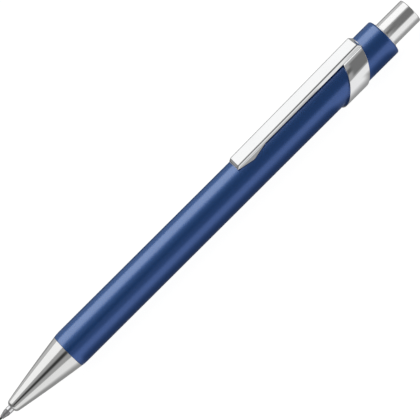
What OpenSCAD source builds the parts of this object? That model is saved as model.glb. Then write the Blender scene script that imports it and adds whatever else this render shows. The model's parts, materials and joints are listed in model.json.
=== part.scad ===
// Push-button mechanical pencil with a clutch mechanism, a metal barrel and a pocket clip.
// Frame: the origin is the writing point, +X runs back along the pencil to the push button,
// and +Z runs out through the middle of the clip. Millimetres.

/* [Lengths along the pencil] */
// Lead that stands out of the tip
lead_out = 0.8; // [0.5:0.1:1.2]
// Tapered front of the lead guide
guide_cone_l = 2.25; // [2:0.05:2.6]
// Round collar between the guide's cone and the nose cone
guide_collar_l = 1.1; // [0.9:0.1:1.4]
// Visible length of the nose cone
nose_l = 18.9; // [18.5:0.1:20]
// Barrel, from the nose cone to the joint under the clip's band
barrel_l = 93.85; // [84:0.05:104]
// Rear cap, from that joint to its rounded edge
rear_cap_l = 12; // [11.9:0.1:14]
// Push button that stands out of the rear cap
button_out = 8.8; // [7:0.2:10]

/* [Barrel and caps] */
// Outside diameter of the barrel
barrel_d = 9.72; // [9.5:0.02:10]
// Wall of the barrel tube
barrel_wall = 0.7; // [0.6:0.05:0.8]
// Narrowing of the barrel's front edge, on the radius
barrel_nose_in = 0.13; // [0.05:0.01:0.2]
// Outside diameter of the rear cap
rear_cap_d = 10; // [9.9:0.02:10.2]
// Rounding of the rear cap's edge
rear_cap_round = 0.7; // [0.4:0.1:0.9]

/* [Nose] */
// Diameter of the guide's cone at its front
guide_front_d = 1.02; // [0.9:0.02:1.2]
// Diameter of the guide's collar
guide_collar_d = 1.84; // [1.7:0.02:1.9]
// Diameter of the nose cone just behind its front rim
nose_front_d = 3.54; // [3.4:0.02:3.7]
// Diameter of the nose cone where it meets the barrel
nose_rear_d = 9.44; // [9.2:0.02:9.5]
// Outward bulge of the nose cone's side
nose_bulge = 0.09; // [0:0.01:0.15]

/* [Clip] */
// Width of the clip
clip_w = 4.1; // [3.8:0.1:4.3]
// Sheet thickness of the clip
clip_sheet = 0.4; // [0.3:0.05:0.45]
// Free length of the clip in front of its bending line
clip_arm_l = 34.9; // [30:0.1:40]
// Height of the clip's outer face above the axis, at the front, middle and rear
clip_front_h = 5.82; // [5.7:0.02:5.9]
clip_mid_h = 6.16; // [6.06:0.02:6.26]
clip_rear_h = 6.48; // [6.4:0.02:6.6]
// Diameter of the slanted band
band_d = 10.82; // [10.7:0.02:11]
// Slant of the band's front edge
band_front_slant = 34.2; // [25:0.2:38]
// Slant of the band's rear edge
band_rear_slant = 29.7; // [22:0.1:32]

/* [Push button] */
// Diameter of the push button
button_d = 6.64; // [6.4:0.02:6.7]
// Travel of the push button
button_travel = 4; // [3:0.5:4]
// Wall of the push button
button_wall = 0.55; // [0.4:0.05:0.6]

/* [Mechanism] */
// Diameter of the lead
lead_d = 0.56; // [0.5:0.02:0.6]
// Length of a new lead
lead_l = 60; // [50:1:60]
// Spare leads in the lead tube
spare_count = 3; // [1:1:3]
// Outside diameter of the lead tube
tube_d = 4.2; // [4:0.05:4.3]
// Turns of the return spring
spring_turns = 7; // [5:1:9]
// Wire of the return spring
spring_wire = 0.36; // [0.3:0.02:0.4]

/* [Hidden] */
$fn = 96;

// Stations along the pencil
guide_x = lead_out;
collar_x = guide_x + guide_cone_l;
nose_x = collar_x + guide_collar_l;
barrel_x = nose_x + nose_l;
joint_x = barrel_x + barrel_l;
rear_x = joint_x + rear_cap_l;
end_x = rear_x + button_out;

// Radii of the outer pieces
barrel_r = barrel_d / 2;
bore_r = barrel_r - barrel_wall;
rear_cap_r = rear_cap_d / 2;
button_r = button_d / 2;
band_r = band_d / 2;

// Clearances: a sliding fit, and the gap that keeps loose pieces apart
fit = 0.05;
gap = 0.1;

// Nose: the guide's shank and head, the retainer and the chuck's chamber
shank_r = guide_collar_d / 2;
guide_head_x = nose_x + 3.4;
retainer_x = guide_head_x + 0.8;
retainer_l = 2;
chamber_x = retainer_x + retainer_l;
chamber_r = 1.8;
sleeve_seat_x = barrel_x - 6.95;
sleeve_r = 2.7;
thread_r = 3.5;
nose_shank_l = 7.2;

// Clutch: the chuck's head is held in the ring, and the ring in the sleeve
clutch_share = 0.3;
ring_x = sleeve_seat_x + clutch_share * button_travel + fit;
ring_l = 2.6;
ring_r = 2;
ring_bore_r = 1.4;
chuck_head_r = ring_bore_r - 0.03;
chuck_lip_r = 1.6;
chuck_lip_l = 1;
chuck_stem_r = 1.15;
chuck_slit_l = 9;
slit_w = 0.2;
web_x = ring_x + ring_l + fit;
web_l = 1;
web_bore_r = chuck_stem_r + 0.2;
spring_x = web_x + web_l;
spring_room = 8.3;
coupler_x = spring_x + spring_room;
coupler_l = 5;
coupler_r = 2;
sleeve_bore_r = 2.2;
sleeve_end_x = coupler_x + 7;
chuck_end_x = coupler_x + 3;

// Lead tube and the eraser's holder
tube_r = tube_d / 2;
tube_bore_r = tube_r - 0.4;
tube_x = coupler_x + coupler_l;
spigot_l = 5;
tube_end_x = rear_x - 2;
holder_x = rear_x - 4.7;
holder_l = 7.5;
holder_r = button_r - button_wall - fit;
eraser_x = tube_end_x + 0.2;
eraser_r = 2.2;
eraser_end_x = end_x - 1.5;
button_x = holder_x - 0.5;
button_end_wall = 0.8;
skirt_in = 0.2;
skirt_end_x = rear_x + 0.3;

// Rear: the bush joins the barrel and the cap, and the guide lines the cap's hole
rear_bush_l = 12.9;
rear_bush_out = 2.3;
web_guide_l = 3;
guide_lip_out = 0.35;
guide_lip_r = button_r + fit + 0.18;
guide_lip_l = 1.7;
guide_bore_r = button_r + fit;

// Spring wire path
spring_r = 1.75;
spring_ring_steps = 18;
wire_sides = 8;

// Clip: stations and the heights of its lower edges
bend_x = joint_x - 0.3;
clip_x = bend_x - clip_arm_l;
clip_slope = 0.7;
clip_top_x = clip_x + clip_slope;
clip_mid_x = clip_top_x + 22.6;
clip_end_x = joint_x + 6;
clip_rear_slope = 0.8;
clip_top_end_x = clip_end_x - clip_rear_slope;
front_edge_h = 4.95;
rear_edge_h = rear_cap_r + 0.08;
flange_front_h = 4.77;
flange_mid_h = 4.98;
flange_rear_h = 5.13;
flange_rise_x = clip_x + 0.5;
nub_x = clip_x + 4.5;
nub_front = 3.9;
nub_rear = 4.3;
nub_lean = 58;
nub_drop = 0.85;
nub_sheet = 0.3;
band_front_x = joint_x - 3.55;
band_rear_x = joint_x + 2.98;
slab = 8;

// A solid of revolution about the pencil's axis, from a closed list of [x, radius] points.
module turned(points) {
    rotate([0, 90, 0])
        rotate_extrude()
            polygon([for (p = points) [p[1], p[0]]]);
}

// A straight tube from x to x + l. A bore of 0 leaves it solid.
module tube(x, l, r, bore = 0) {
    turned([[x, bore], [x + l, bore], [x + l, r], [x, r]]);
}

// A plate in the XZ plane, centred on the axis, w wide.
module side_plate(points, w) {
    rotate([90, 0, 0])
        linear_extrude(height = w, center = true)
            polygon(points);
}

// Points of a shallow arc from a to b that bulges outward by rise.
function bowed(a, b, rise, steps) = [
    for (i = [0 : steps])
        let (t = i / steps)
        [a[0] + (b[0] - a[0]) * t, a[1] + (b[1] - a[1]) * t + 4 * rise * t * (1 - t)]
];

// Points of a quarter round of radius r about the centre c, between two angles.
function rounded(c, r, from, to, steps = 8) = [
    for (i = [0 : steps])
        let (a = from + (to - from) * i / steps)
        [c[0] + r * cos(a), c[1] + r * sin(a)]
];

// The writing lead, with its end worn a little round.
module lead() {
    r = lead_d / 2;
    color("dimgray")
        turned([[0, 0], [lead_l, 0], [lead_l, r], [0.15, r], [0.04, r * 0.7], [0, r * 0.4]]);
}

// Spare leads lie side by side on the bottom of the lead tube.
module spare_leads() {
    r = lead_d / 2;
    ring = tube_bore_r - r - fit;
    color("dimgray")
        for (i = [0 : spare_count - 1])
            rotate([(i - (spare_count - 1) / 2) * 36, 0, 0])
                translate([0, 0, -ring])
                    tube(lead_l + 2, lead_l - 22, r);
}

// The pointed guide that the lead slides through, with a head that seats inside the nose cone.
module lead_guide() {
    bore = lead_d / 2 + 0.03;
    belly_r = shank_r - 0.03;
    outline = [
        [guide_x, bore],
        [guide_x, guide_front_d / 2 - 0.06],
        [guide_x + 0.08, guide_front_d / 2],
        [guide_x + 1.45, belly_r - 0.08],
        [guide_x + 1.75, belly_r],
        [collar_x - 0.06, belly_r],
        [collar_x, shank_r - 0.1],
        [collar_x + 0.06, shank_r],
        [guide_head_x, shank_r],
        [guide_head_x, 1.3],
        [retainer_x, 1.3],
        [retainer_x, bore]
    ];
    color("silver")
        turned(outline);
}

// The soft ring that grips the lead while the chuck goes back.
module lead_retainer() {
    color("black")
        turned([
            [retainer_x, lead_d / 2 + 0.02],
            [retainer_x, 1.55],
            [chamber_x, 1.55],
            [chamber_x, 0.9],
            [chamber_x - 0.8, lead_d / 2 + 0.02]
        ]);
}

// The chrome nose cone, with a rounded front rim and a threaded shank behind.
module nose_cone() {
    rim = 0.45;
    front_r = nose_front_d / 2;
    side = bowed([nose_x + 0.95, front_r], [barrel_x, nose_rear_d / 2], nose_bulge, 6);
    outline = concat(
        [[nose_x, shank_r], [nose_x, front_r - 0.62]],
        [[nose_x + 0.12, front_r - 0.42], [nose_x + rim, front_r - 0.14]],
        side,
        [[barrel_x, thread_r], [barrel_x + nose_shank_l, thread_r]],
        [[barrel_x + nose_shank_l, sleeve_r + fit], [sleeve_seat_x, sleeve_r + fit]],
        [[sleeve_seat_x, chamber_r], [chamber_x, chamber_r], [chamber_x, 1.55]],
        [[retainer_x, 1.55], [retainer_x, 1.3], [guide_head_x, 1.3], [guide_head_x, shank_r]]
    );
    color("gainsboro")
        turned(outline);
}

// The bush in the barrel's front end: the nose cone screws into it, and it holds the sleeve.
module front_bush() {
    color("goldenrod")
        turned([
            [barrel_x + 0.4, thread_r + fit],
            [barrel_x + 0.4, bore_r],
            [barrel_x + 13, bore_r],
            [barrel_x + 13, sleeve_r],
            [barrel_x + nose_shank_l + 0.2, sleeve_r],
            [barrel_x + nose_shank_l + 0.2, thread_r + fit]
        ]);
}

// The lacquered barrel tube, narrowed at its front edge.
module barrel() {
    color("mediumblue")
        turned([
            [barrel_x, bore_r],
            [barrel_x, barrel_r - barrel_nose_in],
            [barrel_x + 0.25, barrel_r - barrel_nose_in + 0.05],
            [barrel_x + 1.2, barrel_r],
            [joint_x, barrel_r],
            [joint_x, bore_r]
        ]);
}

// The sleeve that carries the clutch: a pocket for the ring, a web, and the spring's chamber.
module mechanism_sleeve() {
    color("whitesmoke")
        turned([
            [sleeve_seat_x + 0.9, ring_r + fit],
            [sleeve_seat_x + 0.9, sleeve_r],
            [sleeve_end_x, sleeve_r],
            [sleeve_end_x, sleeve_bore_r],
            [spring_x, sleeve_bore_r],
            [spring_x, web_bore_r],
            [web_x, web_bore_r],
            [web_x, ring_r + fit]
        ]);
}

// The collet that grips the lead, slit into three jaws.
module chuck() {
    bore = lead_d / 2 + 0.03;
    color("darkgoldenrod")
        difference() {
            turned([
                [ring_x - chuck_lip_l, bore],
                [ring_x - chuck_lip_l, 1.2],
                [ring_x - chuck_lip_l + 0.4, chuck_lip_r],
                [ring_x - 0.1, chuck_lip_r],
                [ring_x - 0.1, chuck_head_r],
                [ring_x + ring_l, chuck_head_r - 0.1],
                [ring_x + ring_l, chuck_stem_r],
                [chuck_end_x, chuck_stem_r],
                [chuck_end_x, bore]
            ]);
            for (a = [0 : 120 : 240])
                rotate([a, 0, 0])
                    translate([ring_x - chuck_lip_l - 1, -slit_w / 2, 0])
                        cube([chuck_slit_l + 1, slit_w, 3]);
        }
}

// The ring that squeezes the jaws shut.
module clutch_ring() {
    color("gold")
        turned([
            [ring_x, ring_bore_r],
            [ring_x, ring_r - 0.2],
            [ring_x + 0.2, ring_r],
            [ring_x + ring_l, ring_r],
            [ring_x + ring_l, ring_bore_r]
        ]);
}

// One point on the surface of the coiled wire: turn is the place along the coil, in turns.
function wire_point(turn, side, run) =
    let (
        along = turn * 360,
        around = side * 360 / wire_sides,
        r = spring_r + spring_wire / 2 * cos(around),
        x = spring_x + 0.05 + spring_wire / 2 + run * turn / spring_turns
    )
    [x + spring_wire / 2 * sin(around), r * sin(along), r * cos(along)];

// The spring that pushes the chuck and the button back.
module return_spring() {
    run = spring_room - 0.1 - spring_wire;
    rings = spring_turns * spring_ring_steps;
    points = [
        for (i = [0 : rings], s = [0 : wire_sides - 1])
            wire_point(i / spring_ring_steps, s, run)
    ];
    sides = [
        for (i = [0 : rings - 1], s = [0 : wire_sides - 1])
            let (
                a = i * wire_sides + s,
                b = i * wire_sides + (s + 1) % wire_sides
            )
            [a, a + wire_sides, b + wire_sides, b]
    ];
    start = [for (s = [0 : wire_sides - 1]) s];
    finish = [for (s = [wire_sides - 1 : -1 : 0]) rings * wire_sides + s];
    color("lightsteelblue")
        polyhedron(points = points, faces = concat(sides, [start, finish]));
}

// The coupler joins the chuck's stem to the lead tube, and the spring bears on it.
module chuck_coupler() {
    color("ivory")
        turned([
            [coupler_x, chuck_stem_r],
            [coupler_x, coupler_r],
            [tube_x, coupler_r],
            [tube_x, tube_bore_r],
            [tube_x + spigot_l, tube_bore_r],
            [tube_x + spigot_l, 1.1],
            [tube_x + spigot_l - 1.5, 0.5],
            [chuck_end_x, 0.5],
            [chuck_end_x, chuck_stem_r]
        ]);
}

// The tube that stores spare leads and carries the button's push to the chuck.
module lead_tube() {
    color("white")
        tube(tube_x, tube_end_x - tube_x, tube_r, tube_bore_r);
}

// The collar on the lead tube's rear end: it holds the eraser, and the button slips over it.
module eraser_holder() {
    color("silver")
        turned([
            [holder_x, tube_r],
            [holder_x, holder_r],
            [holder_x + holder_l, holder_r],
            [holder_x + holder_l, eraser_r],
            [tube_end_x, eraser_r],
            [tube_end_x, tube_r]
        ]);
}

// The eraser, standing out of its holder under the button.
module eraser() {
    color("snow")
        turned(concat(
            [[eraser_x, 0], [eraser_x, eraser_r]],
            rounded([eraser_end_x - 0.4, eraser_r - 0.4], 0.4, 90, 0, 4),
            [[eraser_end_x, 0]]
        ));
}

// The chrome push button: a cap with a closed rear end and a slightly narrower skirt.
module push_button() {
    edge = 0.3;
    bore = button_r - button_wall;
    color("gainsboro")
        turned(concat(
            [[button_x, bore], [button_x, button_r - skirt_in]],
            [[skirt_end_x, button_r - skirt_in], [skirt_end_x, button_r]],
            rounded([end_x - edge, button_r - edge], edge, 90, 0, 4),
            [[end_x, 0], [end_x - button_end_wall, 0], [end_x - button_end_wall, bore]]
        ));
}

// The bright liner of the rear cap's hole, with a lip that shows round the button.
module button_guide() {
    color("silver")
        turned([
            [rear_x - 9.5, guide_bore_r],
            [rear_x - 9.5, bore_r],
            [rear_x - guide_lip_l, bore_r],
            [rear_x - guide_lip_l, guide_lip_r],
            [rear_x + guide_lip_out - 0.12, guide_lip_r],
            [rear_x + guide_lip_out, guide_lip_r - 0.1],
            [rear_x + guide_lip_out, guide_bore_r]
        ]);
}

// The lacquered rear cap, with a rounded rear edge.
module rear_cap() {
    e = rear_cap_round;
    color("mediumblue")
        turned(concat(
            [[joint_x, bore_r], [joint_x, rear_cap_r]],
            rounded([rear_x - e, rear_cap_r - e], e, 90, 0, 6),
            [[rear_x, guide_lip_r], [rear_x - guide_lip_l, guide_lip_r]],
            [[rear_x - guide_lip_l, bore_r]]
        ));
}

// The bush that joins the barrel and the rear cap, and steadies the lead tube.
module rear_bush() {
    front = joint_x - rear_bush_l;
    color("whitesmoke")
        turned([
            [front, tube_r + gap],
            [front, bore_r],
            [joint_x + rear_bush_out, bore_r],
            [joint_x + rear_bush_out, guide_bore_r],
            [front + web_guide_l, guide_bore_r],
            [front + web_guide_l, tube_r + gap]
        ]);
}

// Outer face of the clip, from its front edge to its rear edge.
function clip_top() = [
    [clip_x, front_edge_h],
    [clip_top_x, clip_front_h],
    [clip_mid_x, clip_mid_h],
    [clip_top_end_x, clip_rear_h],
    [clip_end_x, rear_edge_h]
];

// Inner face of the clip's top and ends.
function clip_underside() = [
    [clip_end_x - clip_sheet * 1.1, rear_edge_h],
    [clip_top_end_x - clip_sheet * 0.6, clip_rear_h - clip_sheet],
    [clip_mid_x, clip_mid_h - clip_sheet],
    [clip_top_x + clip_sheet * 0.8, clip_front_h - clip_sheet],
    [clip_x + clip_sheet * 1.6, front_edge_h]
];

// The whole clip as a bent-down channel: its top and ends, and a flange down each side.
module clip_channel() {
    side_plate(concat(clip_top(), clip_underside()), clip_w);
    for (side = [-1, 1])
        translate([0, side * (clip_w - clip_sheet) / 2, 0])
            side_plate(concat(clip_top(), [
                [clip_end_x - 0.3, flange_rear_h],
                [clip_mid_x, flange_mid_h],
                [flange_rise_x, flange_front_h]
            ]), clip_sheet);
}

// A tab on each flange leans out and down to rest on the barrel.
module clip_nubs() {
    for (side = [0, 1])
        mirror([0, side, 0])
            translate([0, clip_w / 2 - nub_sheet * 0.9, flange_mid_h])
                rotate([nub_lean, 0, 0])
                    translate([0, nub_sheet / 2, 0])
                        side_plate([
                            [nub_x - nub_front, 0],
                            [nub_x - nub_front, -0.15],
                            [nub_x - 0.3, -nub_drop],
                            [nub_x + 0.3, -nub_drop],
                            [nub_x + nub_rear, -0.1],
                            [nub_x + nub_rear, 0]
                        ], nub_sheet);
}

// Everything on one side of the clip's bending line.
module half_space(x, l) {
    translate([x, -slab, -slab])
        cube([l, 2 * slab, 2 * slab]);
}

// The slanted band round the pencil, with the fixed rear part of the clip standing on it.
module clip_band() {
    front_run = slab * tan(band_front_slant);
    rear_run = slab * tan(band_rear_slant);
    color("gainsboro") {
        intersection() {
            turned([
                [bend_x - 12, barrel_r],
                [bend_x - 12, band_r],
                [clip_end_x + 2, band_r],
                [clip_end_x + 2, rear_cap_r],
                [joint_x, rear_cap_r],
                [joint_x, barrel_r]
            ]);
            side_plate([
                [band_front_x - front_run, -slab],
                [band_front_x + front_run, slab],
                [band_rear_x + rear_run, slab],
                [band_rear_x - rear_run, -slab]
            ], 2 * slab);
        }
        intersection() {
            clip_channel();
            half_space(bend_x, 20);
        }
    }
}

// The free arm of the clip, in front of its bending line.
module clip_arm() {
    color("gainsboro") {
        intersection() {
            clip_channel();
            half_space(bend_x - 60, 60);
        }
        clip_nubs();
    }
}

lead();
spare_leads();
lead_guide();
lead_retainer();
nose_cone();
front_bush();
barrel();
mechanism_sleeve();
chuck();
clutch_ring();
return_spring();
chuck_coupler();
lead_tube();
eraser_holder();
eraser();
push_button();
button_guide();
rear_cap();
rear_bush();
clip_band();
clip_arm();
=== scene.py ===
"""Looks of a push-button mechanical pencil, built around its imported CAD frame.

The pencil lies along +X from its writing point, with its clip up (+Z). Shapes are given in
millimetres and made in metres. Every place comes from the boxes of the CAD nodes.
"""

import json
import math

import bmesh
import bpy
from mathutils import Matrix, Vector

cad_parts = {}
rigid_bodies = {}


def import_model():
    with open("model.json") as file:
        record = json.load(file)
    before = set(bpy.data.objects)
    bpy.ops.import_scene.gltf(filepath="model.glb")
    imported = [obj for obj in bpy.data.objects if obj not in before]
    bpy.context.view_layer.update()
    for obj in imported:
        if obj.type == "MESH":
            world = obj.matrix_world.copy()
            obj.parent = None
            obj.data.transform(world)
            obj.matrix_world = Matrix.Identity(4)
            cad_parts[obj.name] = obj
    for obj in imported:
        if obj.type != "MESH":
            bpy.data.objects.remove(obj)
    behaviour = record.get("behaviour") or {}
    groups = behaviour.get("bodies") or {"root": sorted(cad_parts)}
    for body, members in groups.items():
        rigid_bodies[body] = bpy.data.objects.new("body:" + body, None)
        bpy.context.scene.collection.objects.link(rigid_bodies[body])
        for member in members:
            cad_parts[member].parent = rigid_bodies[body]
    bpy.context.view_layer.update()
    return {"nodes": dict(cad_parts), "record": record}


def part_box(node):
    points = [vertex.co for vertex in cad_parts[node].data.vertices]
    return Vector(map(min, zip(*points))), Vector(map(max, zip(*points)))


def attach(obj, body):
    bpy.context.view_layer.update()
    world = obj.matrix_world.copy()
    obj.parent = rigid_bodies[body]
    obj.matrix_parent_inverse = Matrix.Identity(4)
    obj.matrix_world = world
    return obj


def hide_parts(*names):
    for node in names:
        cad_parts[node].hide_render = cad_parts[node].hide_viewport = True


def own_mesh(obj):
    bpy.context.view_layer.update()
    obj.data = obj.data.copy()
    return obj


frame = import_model()

MM = 0.001
SMOOTH_ANGLE = math.radians(38)
ROUND_SEGMENTS = 160


# ---------------------------------------------------------------- the frame's sizes

def span(node):
    """A CAD node's first and last station along the pencil, and its largest radius, in mm."""
    low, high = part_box(node)
    return low.x / MM, high.x / MM, max(high.y, -low.y, -low.z, high.z) / MM


LEAD_X, LEAD_END_X, LEAD_R = span("lead")
GUIDE_X, GUIDE_END_X, GUIDE_HEAD_R = span("lead_guide")
NOSE_X, NOSE_END_X, NOSE_R = span("nose_cone")
BARREL_X, JOINT_X, BARREL_R = span("barrel")
BORE_R = span("front_bush")[2]
CAP_REAR_X, CAP_R = span("rear_cap")[1:]
LINER_X, LINER_END_X = span("button_guide")[:2]
BUTTON_X, BUTTON_END_X, BUTTON_R = span("push_button")
HOLDER_R = span("eraser_holder")[2]
ERASER_X, ERASER_END_X, ERASER_R = span("eraser")
SLEEVE_R = span("mechanism_sleeve")[2]
SPRING_X, SPRING_END_X, SPRING_R = span("return_spring")
CLIP_X, BEND_X = span("clip_arm")[:2]
CLIP_END_X = span("clip_band")[1]
BAND_R = -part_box("clip_band")[0].z / MM
CLIP_TOP_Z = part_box("clip_band")[1].z / MM

# Sizes in mm that no box shows.
FIT = 0.05
GUIDE_COLLAR_R, GUIDE_HEAD_L = 0.92, 0.8
LIP_SEAT_X, LIP_SEAT_R = CAP_REAR_X - 1.7, BUTTON_R + 0.23


# ---------------------------------------------------------------- mesh tools

def rounded_loop(points, steps=5):
    """A closed outline with rounded corners, from (x, r, corner radius) points.

    A corner reaches along each of its sides by its radius, or by just under half of the side.
    """
    out = []
    count = len(points)
    for i, (x, y, radius) in enumerate(points):
        corner = Vector((x, y))
        if radius <= 0:
            out.append(corner)
            continue
        before = Vector(points[i - 1][:2]) - corner
        after = Vector(points[(i + 1) % count][:2]) - corner
        reach = min(radius, 0.48 * before.length, 0.48 * after.length)
        start = corner + before.normalized() * reach
        end = corner + after.normalized() * reach
        for k in range(steps + 1):
            t = k / steps
            out.append(start * (1 - t) ** 2 + corner * 2 * t * (1 - t) + end * t ** 2)
    return out


def mesh_object(name, verts, faces):
    """A smooth-shaded object from vertices in mm, without doubled vertices or empty faces."""
    mesh = bpy.data.meshes.new(name)
    bm = bmesh.new()
    made = [bm.verts.new(Vector(v) * MM) for v in verts]
    for face in faces:
        corners = [made[i] for i in face]
        if len(set(corners)) > 2:
            bm.faces.new(corners)
    bmesh.ops.remove_doubles(bm, verts=bm.verts, dist=1e-7)
    bmesh.ops.dissolve_degenerate(bm, edges=bm.edges, dist=1e-8)
    bmesh.ops.recalc_face_normals(bm, faces=bm.faces)
    bm.to_mesh(mesh)
    bm.free()
    for polygon in mesh.polygons:
        polygon.use_smooth = True
    mesh.set_sharp_from_angle(angle=SMOOTH_ANGLE)
    obj = bpy.data.objects.new(name, mesh)
    bpy.context.scene.collection.objects.link(obj)
    return obj


def swept(rings, closed_path=True):
    """Vertices and faces that join equal rings of points in order, with end caps on an open path."""
    verts = [p for ring in rings for p in ring]
    size = len(rings[0])
    count = len(rings)
    faces = []
    for i in range(count if closed_path else count - 1):
        for j in range(size):
            a, b = i * size + j, i * size + (j + 1) % size
            c, d = (i + 1) % count * size + (j + 1) % size, (i + 1) % count * size + j
            faces.append((a, b, c, d))
    if not closed_path:
        faces.append(tuple(range(size)))
        faces.append(tuple(range((count - 1) * size, count * size)))
    return verts, faces


def turn_point(x, r, angle):
    """A point at radius r about the pencil's axis. Angle 0 is the clip's side."""
    return (x, r * math.sin(angle), r * math.cos(angle))


def lathe(name, outline, segments=ROUND_SEGMENTS):
    """A solid of revolution about the pencil's axis, from (x, r, corner radius) points in mm."""
    loop = rounded_loop(outline)
    rings = [
        [turn_point(p.x, max(p.y, 0), 2 * math.pi * k / segments) for p in loop]
        for k in range(segments)
    ]
    return mesh_object(name, *swept(rings))


def helix(name, x_start, pitch, turns, path_r, section, steps=48):
    """A coil about the axis. section is a closed list of (along x, outward) offsets in mm."""
    rings = []
    for k in range(int(turns * steps) + 1):
        turn = k / steps
        x = x_start + pitch * turn
        rings.append([turn_point(x + dx, path_r + dr, 2 * math.pi * turn) for dx, dr in section])
    return mesh_object(name, *swept(rings, closed_path=False))


def finish_piece(obj, body, slot, material, *nodes):
    """Gives a piece its body and its material, and hides the CAD nodes that it stands for. The slot is
    not used.
    """
    obj.data.materials.clear()
    obj.data.materials.append(material)
    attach(obj, body)
    if nodes:
        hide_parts(*nodes)
    return obj


# ---------------------------------------------------------------- materials

class Shader:
    """A procedural material: a Principled shader and the nodes that feed it."""

    def __init__(self, name, sockets):
        self.material = bpy.data.materials.new(name)
        self.material.use_nodes = True
        self.tree = self.material.node_tree
        self.principled = self.tree.nodes["Principled BSDF"]
        for socket, value in sockets.items():
            self.principled.inputs[socket].default_value = value

    def node(self, kind, links=(), **values):
        """A node with its values set and its inputs linked, as (input, output) pairs."""
        made = self.tree.nodes.new(kind)
        for key, value in values.items():
            socket = key.replace("_", " ")
            if hasattr(made, key):
                setattr(made, key, value)
            else:
                made.inputs[socket.title()].default_value = value
        for name, output in links:
            self.tree.links.new(output, made.inputs[name])
        return made

    def place(self, scale=(1, 1, 1)):
        """Coordinates in metres on the piece itself, stretched by scale."""
        coords = self.tree.nodes.new("ShaderNodeTexCoord")
        mapping = self.node("ShaderNodeMapping", [("Vector", coords.outputs["Object"])])
        mapping.inputs["Scale"].default_value = scale
        return mapping.outputs["Vector"]

    def noise(self, scale, detail=3.0, roughness=0.55, stretch=(1, 1, 1)):
        """Noise on the piece. A small stretch along an axis draws it out along that axis."""
        made = self.node(
            "ShaderNodeTexNoise", [("Vector", self.place(stretch))],
            scale=scale, detail=detail, roughness=roughness,
        )
        return made.outputs["Fac"]

    def ramp(self, value, stops, low=0.3, high=0.7):
        """Maps a value through colours, or greys given as single numbers, set between low and high."""
        made = self.node("ShaderNodeValToRGB", [("Fac", value)])
        elements = made.color_ramp.elements
        for i, stop in enumerate(stops):
            place = low + (high - low) * i / (len(stops) - 1)
            element = elements[i] if i < 2 else elements.new(place)
            element.position = place
            element.color = (stop, stop, stop, 1) if isinstance(stop, (int, float)) else (*stop, 1)
        return made.outputs["Color"]

    def feed(self, socket, output):
        """Links an output to a socket of the Principled shader."""
        self.tree.links.new(output, self.principled.inputs[socket])

    def bump(self, height, strength, depth_mm):
        """Raises and sinks the surface by the height."""
        made = self.node(
            "ShaderNodeBump", [("Height", height)], strength=strength, distance=depth_mm * MM
        )
        self.feed("Normal", made.outputs["Normal"])


def blue_lacquer():
    """Satin metallic lacquer: fine flakes under a soft clear coat with a trace of orange peel."""
    s = Shader("blue_lacquer", {
        "Metallic": 0.62, "Coat Weight": 0.36, "Coat Roughness": 0.24, "Coat IOR": 2.4,
        "Specular IOR Level": 0.0,
    })
    flakes = s.noise(9000, detail=2)
    s.feed("Base Color", s.ramp(flakes, [(0.001, 0.058, 0.275), (0.002, 0.079, 0.34)]))
    clouds = s.noise(300, detail=4)
    s.feed("Roughness", s.ramp(clouds, [0.27, 0.33]))
    s.bump(s.noise(2500, detail=2), 0.06, 0.02)
    return s.material


def chrome(name="chrome", low=0.035, high=0.075, base=(0.84, 0.845, 0.85)):
    """Polished plating: bright, with faint drawn marks along it and hazier patches."""
    s = Shader(name, {"Metallic": 1.0})
    tint = s.noise(140, detail=3)
    s.feed("Base Color", s.ramp(tint, [tuple(0.97 * c for c in base), base]))
    haze = s.noise(420, detail=5, stretch=(0.25, 1, 1))
    s.feed("Roughness", s.ramp(haze, [low, high]))
    s.bump(s.noise(1500, detail=3, stretch=(0.08, 1, 1)), 0.04, 0.004)
    return s.material


def turned_metal(name, dark, light, low, high):
    """Nickel-like metal off the lathe, with fine rings round the axis."""
    s = Shader(name, {"Metallic": 1.0})
    rings = s.noise(2600, detail=4, stretch=(1, 0.06, 0.06))
    s.feed("Base Color", s.ramp(rings, [(dark, dark, dark * 1.02), (light, light, light * 1.01)]))
    s.feed("Roughness", s.ramp(s.noise(900, detail=3), [low, high]))
    s.bump(rings, 0.25, 0.006)
    return s.material


def brass():
    """Turned brass with fine rings and slightly darker patches."""
    s = Shader("brass", {"Metallic": 1.0})
    rings = s.noise(2200, detail=4, stretch=(1, 0.08, 0.08))
    s.feed("Base Color", s.ramp(s.noise(260), [(0.62, 0.42, 0.16), (0.8, 0.6, 0.28)]))
    s.feed("Roughness", s.ramp(rings, [0.2, 0.34]))
    s.bump(rings, 0.2, 0.006)
    return s.material


def spring_steel():
    """Drawn wire: fine lines and a little grey variation."""
    s = Shader("spring_steel", {"Metallic": 1.0})
    s.feed("Base Color", s.ramp(s.noise(900), [(0.42, 0.42, 0.44), (0.62, 0.62, 0.64)]))
    s.feed("Roughness", s.ramp(s.noise(3000, detail=4), [0.2, 0.36]))
    return s.material


def graphite():
    """Polymer lead: near black with a soft grey sheen and fine grain."""
    s = Shader("graphite", {"Metallic": 0.25})
    grain = s.noise(9000, detail=4)
    s.feed("Base Color", s.ramp(grain, [(0.025, 0.025, 0.028), (0.075, 0.075, 0.08)]))
    s.feed("Roughness", s.ramp(grain, [0.34, 0.5]))
    s.bump(grain, 0.3, 0.006)
    return s.material


def moulded_plastic():
    """Natural acetal: off-white, slightly translucent, with a fine moulded skin."""
    s = Shader("white_plastic", {"Subsurface Weight": 0.15, "Subsurface Scale": 0.0008})
    s.feed("Base Color", s.ramp(s.noise(180), [(0.74, 0.74, 0.71), (0.82, 0.82, 0.79)]))
    s.feed("Roughness", s.ramp(s.noise(1200, detail=4), [0.36, 0.5]))
    s.bump(s.noise(5000, detail=2), 0.08, 0.01)
    return s.material


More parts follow.
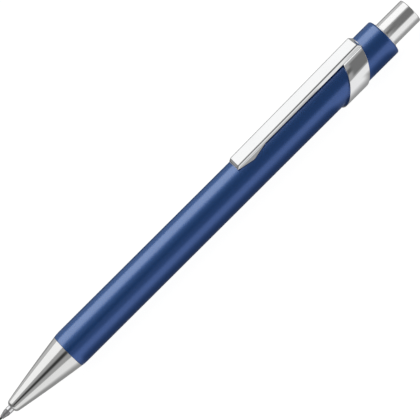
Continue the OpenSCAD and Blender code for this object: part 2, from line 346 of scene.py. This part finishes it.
def soft_rubber(name, dark, light, grain_scale=2600):
    """Matt rubber with a dusty, slightly uneven skin."""
    s = Shader(name, {})
    grain = s.noise(grain_scale, detail=5, roughness=0.65)
    s.feed("Base Color", s.ramp(grain, [dark, light]))
    s.feed("Roughness", s.ramp(s.noise(700), [0.72, 0.9]))
    s.bump(grain, 0.35, 0.02)
    return s.material


MATERIALS = {
    "blue_lacquer": blue_lacquer(),
    "chrome": chrome(),
    "guide_metal": turned_metal("guide_metal", 0.34, 0.44, 0.42, 0.54),
    "graphite": graphite(),
    "retainer_rubber": soft_rubber("retainer_rubber", (0.02, 0.02, 0.02), (0.045, 0.045, 0.045)),
    "eraser_rubber": soft_rubber("eraser_rubber", (0.78, 0.77, 0.74), (0.88, 0.87, 0.85)),
    "brass": brass(),
    "spring_steel": spring_steel(),
    "white_plastic": moulded_plastic(),
}

# Materials that differ a little from the material of their slot; the nose's darker chrome is painted
# shade.
COLLAR_METAL = turned_metal("guide_collar", 0.78, 0.86, 0.1, 0.18)
# The nose's chrome is darker than the clip's: painted shade that dims the cone's reflections.
SHADED_NOSE_CHROME = chrome("nose_chrome_painted_shade", 0.04, 0.09, (0.77, 0.77, 0.765))
BUTTON_CHROME = chrome("button_chrome", 0.1, 0.15, (0.86, 0.86, 0.86))
RIM_METAL = turned_metal("button_rim", 0.9, 0.96, 0.34, 0.42)


def dress_cad_nodes():
    """Every CAD node that stays visible takes the material of its slot in the record."""
    slots = {p["node"]: p["material_slot"] for p in frame["record"]["subparts"]}
    for name, obj in frame["nodes"].items():
        obj.data.materials.clear()
        obj.data.materials.append(MATERIALS[slots[name]])


# ---------------------------------------------------------------- barrel and rear cap

def build_barrel():
    """The lacquered tube, narrowed a little at its front edge."""
    edge_r = BARREL_R - 0.13
    obj = lathe("barrel_tube", [
        (BARREL_X, BORE_R, 0.05),
        (BARREL_X, edge_r, 0.12),
        (BARREL_X + 1.2, BARREL_R, 0.8),
        (JOINT_X, BARREL_R, 0.02),
        (JOINT_X, BORE_R, 0.02),
    ])
    finish_piece(obj, "case", "blue_lacquer", MATERIALS["blue_lacquer"], "barrel")


def build_rear_cap():
    """The lacquered rear cap with its soft rear edge."""
    obj = lathe("rear_cap_shell", [
        (JOINT_X, BORE_R, 0.02),
        (JOINT_X, CAP_R, 0.04),
        (CAP_REAR_X, CAP_R, 0.95),
        (CAP_REAR_X, LIP_SEAT_R, 0.04),
        (LIP_SEAT_X, LIP_SEAT_R, 0.02),
        (LIP_SEAT_X, BORE_R, 0.02),
    ])
    finish_piece(obj, "case", "blue_lacquer", MATERIALS["blue_lacquer"], "rear_cap")


def build_button_guide():
    """The bright liner of the rear hole: its lip shows round the button."""
    bore = BUTTON_R + FIT
    obj = lathe("button_guide_liner", [
        (LINER_X, bore, 0.05),
        (LINER_X, BORE_R, 0.1),
        (LIP_SEAT_X, BORE_R, 0.05),
        (LIP_SEAT_X, LIP_SEAT_R, 0.02),
        (LINER_END_X, LIP_SEAT_R, 0.12),
        (LINER_END_X, bore, 0.04),
    ])
    finish_piece(obj, "case", "chrome", RIM_METAL, "button_guide")


# ---------------------------------------------------------------- nose

def build_nose_cone():
    """The polished cone with its rounded front rim, and a threaded shank behind."""
    front_r, rim, steps, bulge = 1.77, 0.95, 7, 0.09
    rim_round, side_round, rear_round = 0.4, 0.5, 0.07
    side = []
    for i in range(steps + 1):
        t = i / steps
        x = NOSE_X + rim + (BARREL_X - NOSE_X - rim) * t
        r = front_r + (NOSE_R - front_r) * t + 4 * bulge * t * (1 - t)
        side.append((x, r, side_round))
    side[0] = (*side[0][:2], rim_round)
    side[-1] = (*side[-1][:2], rear_round)

    # The bore widens in steps: the guide's collar, its head, the lead's retainer, the chuck, the sleeve.
    collar_r, head_r, retainer_r, chamber_r, shank_bore = GUIDE_COLLAR_R, 1.3, 1.55, 1.8, SLEEVE_R + FIT
    head_x, chamber_x, sleeve_x = NOSE_X + 3.4, NOSE_X + 6.2, BARREL_X - 6.95
    retainer_x = head_x + GUIDE_HEAD_L
    thread_r, thread_depth = 3.5, 0.22
    root_r = thread_r - thread_depth
    obj = lathe("nose_cone_shell", [
        (NOSE_X, collar_r, 0.03),
        (NOSE_X, 1.18, 0.12),
        (NOSE_X + 0.42, 1.62, 0.35),
        *side,
        (BARREL_X, root_r, 0.05),
        (NOSE_END_X, root_r, 0.15),
        (NOSE_END_X, shank_bore, 0.05),
        (sleeve_x, shank_bore, 0.02),
        (sleeve_x, chamber_r, 0.05),
        (chamber_x, chamber_r, 0.02),
        (chamber_x, retainer_r, 0.02),
        (retainer_x, retainer_r, 0.02),
        (retainer_x, head_r, 0.02),
        (head_x, head_r, 0.02),
        (head_x, collar_r, 0.02),
    ])
    finish_piece(obj, "nose", "chrome", SHADED_NOSE_CHROME, "nose_cone")
    pitch, neck, run_out, sunk = 0.6, 1.4, 0.8, 0.03
    half, crest = pitch * 0.42, pitch * 0.105
    section = [(-half, -sunk), (-crest, thread_depth), (crest, thread_depth), (half, -sunk)]
    turns = (NOSE_END_X - BARREL_X - neck - run_out) / pitch
    thread = helix("nose_thread", BARREL_X + neck, pitch, turns, root_r, section)
    finish_piece(thread, "nose", "chrome", SHADED_NOSE_CHROME)


def build_lead_guide():
    """The guide: a satin point, and a bright collar that runs down to its seat in the nose."""
    bore = LEAD_R + 0.03
    collar_x, head_x = NOSE_X - 1.1, GUIDE_END_X - GUIDE_HEAD_L
    neck_x, neck_r, belly_r = collar_x - 0.02, GUIDE_COLLAR_R - 0.12, GUIDE_COLLAR_R - 0.04
    point = lathe("lead_guide_point", [
        (GUIDE_X, bore, 0.02),
        (GUIDE_X, 0.47, 0.06),
        (GUIDE_X + 0.75, 0.64, 0.3),
        (GUIDE_X + 1.6, belly_r, 0.35),
        (neck_x - 0.08, belly_r, 0.06),
        (neck_x, neck_r, 0.03),
        (neck_x, bore, 0),
    ], segments=96)
    finish_piece(point, "nose", "guide_metal", MATERIALS["guide_metal"], "lead_guide")
    collar = lathe("lead_guide_collar", [
        (neck_x, bore, 0),
        (neck_x, neck_r, 0.02),
        (collar_x + 0.08, GUIDE_COLLAR_R, 0.06),
        (head_x, GUIDE_COLLAR_R, 0.02),
        (head_x, GUIDE_HEAD_R, 0.05),
        (GUIDE_END_X, GUIDE_HEAD_R, 0.05),
        (GUIDE_END_X, bore, 0.05),
    ], segments=96)
    finish_piece(collar, "nose", "guide_metal", COLLAR_METAL)


def build_lead():
    """The writing lead, worn to a blunt facet at its end."""
    obj = lathe("lead_rod", [
        (LEAD_X, 0, 0),
        (LEAD_X, LEAD_R * 0.45, 0.04),
        (LEAD_X + 0.16, LEAD_R, 0.12),
        (LEAD_END_X, LEAD_R, 0.03),
        (LEAD_END_X, 0, 0),
    ], segments=48)
    finish_piece(obj, "writing_lead", "graphite", MATERIALS["graphite"], "lead")


# ---------------------------------------------------------------- clip

BAND_FRONT_X, BAND_FRONT_TAN = JOINT_X - 3.55, math.tan(math.radians(34.2))
BAND_REAR_X, BAND_REAR_TAN = JOINT_X + 2.98, math.tan(math.radians(29.7))
SHEET, CLIP_HALF_W = 0.4, 2.05
CLIP_TOP_X, CLIP_MID_X, CLIP_TOP_END_X = CLIP_X + 0.7, CLIP_X + 23.3, CLIP_END_X - 0.8
CORNER_STEPS = 6

# The tab on each flange that rests on the barrel: it leans outward, and fades out fore and aft.
NUB_X, NUB_FLAT, NUB_FRONT, NUB_REAR = CLIP_X + 4.5, 0.25, 3.9, 4.3
NUB_REACH, NUB_SHEET, NUB_LEAN = 0.85, 0.28, math.radians(58)


def along(points, x):
    """The height at x on a line through (x, height) points."""
    if x <= points[0][0]:
        return points[0][1]
    for (x0, z0), (x1, z1) in zip(points, points[1:]):
        if x <= x1:
            return z0 + (z1 - z0) * (x - x0) / (x1 - x0)
    return points[-1][1]


# Side profiles of the clip as (x, height): its top, and the lower edge of its flanges. The top's
# first and last point lie below the flanges, only to round the corners next to them.
BELOW_CLIP = 4.6
CLIP_TOP = [
    (p.x, p.y) for p in rounded_loop([
        (CLIP_X, BELOW_CLIP, 0), (CLIP_X + 0.001, 4.97, 0.1), (CLIP_TOP_X, 5.82, 0.24),
        (CLIP_MID_X, 6.16, 6), (CLIP_TOP_END_X, CLIP_TOP_Z, 0.3),
        (CLIP_END_X, 5.08, 0.05), (CLIP_END_X + 0.001, BELOW_CLIP, 0),
    ], CORNER_STEPS)
]
CLIP_LOW = [
    (CLIP_X, 4.95), (CLIP_X + 0.5, 4.77), (CLIP_MID_X, 4.98), (CLIP_END_X - 0.3, 5.13),
    (CLIP_END_X, 5.08),
]


def nub_length(x):
    """How far the resting tab reaches down from the flange at x."""
    run = NUB_FRONT if x < NUB_X else NUB_REAR
    past_flat = max(0.0, abs(x - NUB_X) - NUB_FLAT)
    return NUB_REACH * max(0.0, 1 - past_flat / run)


def clip_section(x, with_nub):
    """The clip's closed cross-section at x, from the inner left corner over the top to the right."""
    thinnest = 0.02
    low = along(CLIP_LOW, x)
    top = max(along(CLIP_TOP, x), low + thinnest)
    inner_top = max(top - SHEET, low + thinnest / 2)
    corner_w, corner_h = 0.6, min(0.52, 0.6 * (top - low))
    right = []
    for k in range(CORNER_STEPS + 1):
        a = math.pi / 2 * k / CORNER_STEPS
        right.append((
            CLIP_HALF_W + corner_w * (math.sin(a) - 1), top + corner_h * (math.cos(a) - 1)
        ))
    drop = nub_length(x) if with_nub else 0.0
    foot = Vector((CLIP_HALF_W, low))
    tip = foot + Vector((math.sin(NUB_LEAN), -math.cos(NUB_LEAN))) * drop
    across = Vector((-SHEET, 0))
    if drop > 0.01:
        across = Vector((-math.cos(NUB_LEAN), -math.sin(NUB_LEAN))) * NUB_SHEET
    inner_tip = tip + across
    right += [(foot.x, foot.y), (tip.x, tip.y), (inner_tip.x, inner_tip.y)]
    right += [(CLIP_HALF_W - SHEET, low), (CLIP_HALF_W - SHEET, inner_top)]
    left = [(-y, z) for y, z in reversed(right)]
    return [(x, y, z) for y, z in left + right]


def clip_stations(x0, x1):
    """Stations along the clip from x0 to x1: evenly spread, and one wherever its shape turns."""
    even_steps, least_gap = 60, 0.004
    stations = [x for x, _ in CLIP_TOP + CLIP_LOW]
    stations += [NUB_X - NUB_FLAT - NUB_FRONT, NUB_X - NUB_FLAT]
    stations += [NUB_X + NUB_FLAT, NUB_X + NUB_FLAT + NUB_REAR]
    stations += [x0 + (x1 - x0) * k / even_steps for k in range(1, even_steps)]
    out = [x0]
    for x in sorted(stations):
        if out[-1] + least_gap < x < x1 - least_gap:
            out.append(x)
    return out + [x1]


def clip_piece(x0, x1, with_nub):
    """Vertices and faces of the clip between two stations."""
    rings = [clip_section(x, with_nub) for x in clip_stations(x0, x1)]
    return swept(rings, closed_path=False)


def band_piece(segments=192):
    """Vertices and faces of the slanted band: its two edges are planes that lean with the height."""
    rings = []
    for k in range(segments):
        angle = 2 * math.pi * k / segments
        loop = []
        for r, side in ((BARREL_R, 0), (BAND_R, 0), (BAND_R, 1), (CAP_R, 1)):
            z = r * math.cos(angle)
            front = BAND_FRONT_X + BAND_FRONT_TAN * z
            rear = BAND_REAR_X + BAND_REAR_TAN * z
            loop.append((rear if side else front, r, 0.12 if r == BAND_R else 0.02))
        rings.append([turn_point(p.x, p.y, angle) for p in rounded_loop(loop)])
    return swept(rings)


def build_clip():
    """The free arm, and the slanted band with the clip's fixed rear part standing on it."""
    arm = mesh_object("clip_free_arm", *clip_piece(CLIP_X, BEND_X, True))
    finish_piece(arm, "clip", "chrome", MATERIALS["chrome"], "clip_arm")
    verts, faces = band_piece()
    root_verts, root_faces = clip_piece(BEND_X, CLIP_END_X, False)
    shift = len(verts)
    verts += root_verts
    faces += [tuple(i + shift for i in face) for face in root_faces]
    band = mesh_object("clip_band_and_root", verts, faces)
    finish_piece(band, "case", "chrome", MATERIALS["chrome"], "clip_band")


# ---------------------------------------------------------------- push button and inside

def build_push_button():
    """The chrome cap: a cylinder with a flat, softly edged end and a narrower skirt in the rear cap."""
    bore, end_wall = HOLDER_R + FIT, 0.8
    skirt_end_x, skirt_r = CAP_REAR_X + 0.3, BUTTON_R - 0.2
    obj = lathe("push_button_cap", [
        (BUTTON_X, bore, 0.05),
        (BUTTON_X, skirt_r, 0.1),
        (skirt_end_x, skirt_r, 0.02),
        (skirt_end_x, BUTTON_R, 0.04),
        (BUTTON_END_X, BUTTON_R, 0.32),
        (BUTTON_END_X, 0, 0),
        (BUTTON_END_X - end_wall, 0, 0),
        (BUTTON_END_X - end_wall, bore, 0.3),
    ])
    finish_piece(obj, "button", "chrome", BUTTON_CHROME, "push_button")


def build_eraser():
    """The eraser, its end rubbed a little round."""
    obj = lathe("eraser_plug", [
        (ERASER_X, 0, 0),
        (ERASER_X, ERASER_R, 0.1),
        (ERASER_END_X, ERASER_R, 0.7),
        (ERASER_END_X, 0, 0),
    ])
    finish_piece(obj, "plunger", "eraser_rubber", MATERIALS["eraser_rubber"], "eraser")


def build_spring():
    """The return spring as a smooth round wire."""
    wire_r, turns, sides, pressed = 0.18, 7, 16, 0.5
    section = []
    for k in range(sides):
        angle = 2 * math.pi * k / sides
        section.append((wire_r * math.sin(angle), wire_r * math.cos(angle)))
    run = SPRING_END_X - SPRING_X - 2 * wire_r
    obj = helix(
        "return_spring_wire", SPRING_X + wire_r, run / turns, turns, SPRING_R - wire_r, section
    )
    finish_piece(obj, "case", "spring_steel", MATERIALS["spring_steel"], "return_spring")
    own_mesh(obj)


# ---------------------------------------------------------------- stage, light, camera

def build_floor():
    """A plain white floor under the band. In reflections it glows, with a painted shadow: grey under and
    behind the pencil.
    """
    half = 3000
    corners = ((-half, -half), (half, -half), (half, half), (-half, half))
    floor = mesh_object("floor", [(x, y, -BAND_R) for x, y in corners], [(0, 1, 2, 3)])
    s = Shader("floor_white", {
        "Base Color": (0.14, 0.14, 0.14, 1), "Roughness": 0.9, "Specular IOR Level": 0.0,
        "Emission Color": (1, 1, 1, 1), "Emission Strength": 0.97,
    })
    split = s.node("ShaderNodeSeparateXYZ", [("Vector", s.place())])

    def link(output, socket):
        s.tree.links.new(output, socket)

    def fade(axis, start, end, low, high):
        """Goes smoothly from low to high between two places along an axis, in mm."""
        made = s.node("ShaderNodeMapRange", [("Value", split.outputs[axis])])
        made.interpolation_type = "SMOOTHSTEP"
        for socket, value in zip(made.inputs[1:5], (start * MM, end * MM, low, high)):
            socket.default_value = value
        return made.outputs["Result"]

    def join(operation, a, b):
        """The sum or product of two outputs."""
        made = s.node("ShaderNodeMath", operation=operation)
        link(a, made.inputs[0])
        link(b, made.inputs[1])
        return made.outputs[0]

    def stretch(start, end, soft=3):
        """1 between two places along the pencil, and 0 outside them."""
        rise, fall = fade("X", start, start + soft, 0, 1), fade("X", end - soft, end, 1, 0)
        return join("MULTIPLY", rise, fall)

    # Seen only in reflections: the floor's glow, with a painted shadow that is grey under the metal
    # parts and darkest under the lacquered ones.
    open_floor, painted_shadow_under_metal, painted_shadow_under_lacquer = 0.94, 0.33, 0.15
    lacquer = join(
        "ADD", stretch(BARREL_X - 1, BAND_FRONT_X - 2), stretch(JOINT_X + 1.5, CAP_REAR_X + 1)
    )
    level = s.node("ShaderNodeMix", [("Factor", lacquer)])
    link(fade("Y", -12, -4, open_floor, painted_shadow_under_metal), level.inputs["A"])
    link(fade("Y", -22, -5, open_floor, painted_shadow_under_lacquer), level.inputs["B"])
    reflected_glow_and_shadow = s.node("ShaderNodeEmission", [("Strength", level.outputs["Result"])])
    rays = s.node("ShaderNodeLightPath")
    mix = s.node("ShaderNodeMixShader", [("Fac", rays.outputs["Is Camera Ray"])])
    link(reflected_glow_and_shadow.outputs[0], mix.inputs[1])
    link(s.principled.outputs[0], mix.inputs[2])
    link(mix.outputs[0], s.tree.nodes["Material Output"].inputs["Surface"])
    floor.data.materials.append(s.material)


def softbox(name, power, depth, distance, tilt, color=(1, 1, 1)):
    """A long softbox over the pencil, behind it by the tilt in degrees. Depth is its size across."""
    length, middle_x, lean = 1.3, 0.07, math.radians(tilt)
    light = bpy.data.lights.new(name, "AREA")
    light.color = color
    light.shape = "RECTANGLE"
    light.size, light.size_y = length, depth
    light.energy = power
    box = bpy.data.objects.new(name, light)
    bpy.context.scene.collection.objects.link(box)
    box.location = (middle_x, math.sin(lean) * distance, math.cos(lean) * distance)
    box.rotation_euler = (-lean, 0, 0)
    box.visible_camera = False
    return box


def build_lights():
    """One softbox lights everything. A narrower, warm one in front of it adds to the lacquer only."""
    softbox("softbox", 1.6, 0.73, 0.62, 24.5)
    lacquered = bpy.data.collections.new("lacquered")
    for obj in bpy.context.scene.objects:
        if obj.type == "MESH" and MATERIALS["blue_lacquer"].name in obj.data.materials:
            lacquered.objects.link(obj)
    strip = softbox("softbox_for_lacquer", 4.4, 0.54, 0.6, 28, (1, 0.74, 0.36))
    strip.light_linking.receiver_collection = lacquered


VIEW_ELEVATION = math.radians(45)


class WorldNodes:
    """Short names for the few kinds of node that the studio's world is made of."""

    def __init__(self, world):
        world.use_nodes = True
        self.tree = world.node_tree
        self.tree.nodes.clear()

    def node(self, kind, *inputs):
        """A node whose first inputs are linked to outputs or set to values, in order."""
        made = self.tree.nodes.new(kind)
        for socket, value in zip(made.inputs, inputs):
            if isinstance(value, bpy.types.NodeSocket):
                self.tree.links.new(value, socket)
            else:
                socket.default_value = value
        return made

    def math(self, operation, a, b):
        """One step of arithmetic on two values."""
        made = self.node("ShaderNodeMath", a, b)
        made.operation = operation
        return made.outputs[0]

    def dot(self, vector, axis):
        """How far a direction points along an axis."""
        made = self.node("ShaderNodeVectorMath", vector, axis)
        made.operation = "DOT_PRODUCT"
        return made.outputs["Value"]

    def fade(self, value, start, end, low=0.0, high=1.0):
        """Goes smoothly from low to high as the value goes from start to end."""
        made = self.node("ShaderNodeMapRange", value, start, end, low, high)
        made.interpolation_type = "SMOOTHSTEP"
        return made.outputs["Result"]

    def blend(self, amount, a, b):
        """a where the amount is 0, b where it is 1."""
        step = self.math("SUBTRACT", b, a)
        return self.math("ADD", a, self.math("MULTIPLY", amount, step))


def build_world():
    """A grey studio with a dark bar behind the camera, bright low in front, pale to the camera."""
    world = bpy.data.worlds.new("studio")
    bpy.context.scene.world = world
    w = WorldNodes(world)
    direction = w.node("ShaderNodeTexCoord").outputs["Generated"]
    split = w.node("ShaderNodeSeparateXYZ", direction)
    cos_v, sin_v = math.cos(VIEW_ELEVATION), math.sin(VIEW_ELEVATION)
    to_camera = w.dot(direction, (0, -cos_v, sin_v))
    upward = w.dot(direction, (0, sin_v, cos_v))
    room = w.fade(to_camera, 0.6, 0.85, 0.58, 0.4)

    # The bar is narrow and dark towards the pencil's point, wide and paler towards its button.
    rearward = w.fade(split.outputs["X"], 0.02, 0.06)
    from_narrow = w.math("ABSOLUTE", w.math("SUBTRACT", upward, 0.05), 0.0)
    narrow = w.fade(from_narrow, 0.06, 0.3, 1.0, 0.0)
    narrow_grey = w.fade(split.outputs["X"], -0.36, 0.0, 0.045, 0.13)
    from_wide = w.math("ABSOLUTE", w.math("ADD", upward, 0.02), 0.0)
    wide = w.fade(from_wide, 0.42, 0.56, 1.0, 0.0)
    wide_grey = 0.19
    inside = w.math("MULTIPLY", w.blend(rearward, narrow, wide), w.fade(to_camera, 0.5, 0.75))
    grey = w.blend(inside, room, w.blend(rearward, narrow_grey, wide_grey))

    # The studio's two ends are darker, and low in front of the pencil it is bright.
    end_grey, front_grey = 0.2, 0.92
    sideways = w.math("ABSOLUTE", split.outputs["X"], 0.0)
    grey = w.blend(w.fade(sideways, 0.42, 0.66), grey, end_grey)
    low = w.fade(split.outputs["Z"], 0.16, 0.08)
    front = w.fade(split.outputs["Y"], -0.2, -0.5)
    grey = w.blend(w.math("MULTIPLY", low, front), grey, front_grey)
    studio = w.node("ShaderNodeBackground", (1, 1, 1, 1), grey)
    pale = w.node("ShaderNodeBackground", (0.96, 0.96, 0.96, 1))
    rays = w.node("ShaderNodeLightPath")
    mix = w.node(
        "ShaderNodeMixShader", rays.outputs["Is Camera Ray"], studio.outputs[0], pale.outputs[0]
    )
    w.node("ShaderNodeOutputWorld", mix.outputs[0])


def build_camera():
    """A long lens, 45 degrees above the floor, rolled so that the point is at the lower left."""
    length = BUTTON_END_X - LEAD_X
    nearest, aimed_at = 0.4554 * length, 0.5115 * length
    foot = Vector((nearest, 0, 0)) * MM
    target = Vector((aimed_at, 0, 0)) * MM
    distance, roll = 0.593, math.radians(44.88)
    place = foot + Vector((0, -math.cos(VIEW_ELEVATION), math.sin(VIEW_ELEVATION))) * distance
    forward = (target - place).normalized()
    ahead = (Vector((1, 0, 0)) - forward * forward.x).normalized()
    aside = (-forward).cross(ahead)
    right = ahead * math.cos(roll) - aside * math.sin(roll)
    up = ahead * math.sin(roll) + aside * math.cos(roll)
    data = bpy.data.cameras.new("camera")
    data.lens, data.sensor_width = 214.4, 36
    data.clip_start, data.clip_end = 0.01, 20
    camera = bpy.data.objects.new("camera", data)
    bpy.context.scene.collection.objects.link(camera)
    rotation = camera.matrix_world.to_3x3()
    rotation.col[0], rotation.col[1], rotation.col[2] = right, up, -forward
    camera.matrix_world = rotation.to_4x4()
    camera.location = place
    bpy.context.scene.camera = camera


dress_cad_nodes()
build_barrel()
build_rear_cap()
build_button_guide()
build_nose_cone()
build_lead_guide()
build_lead()
build_clip()
build_push_button()
build_eraser()
build_spring()
build_floor()
build_lights()
build_world()
build_camera()
bpy.context.scene.view_settings.view_transform = "Standard"
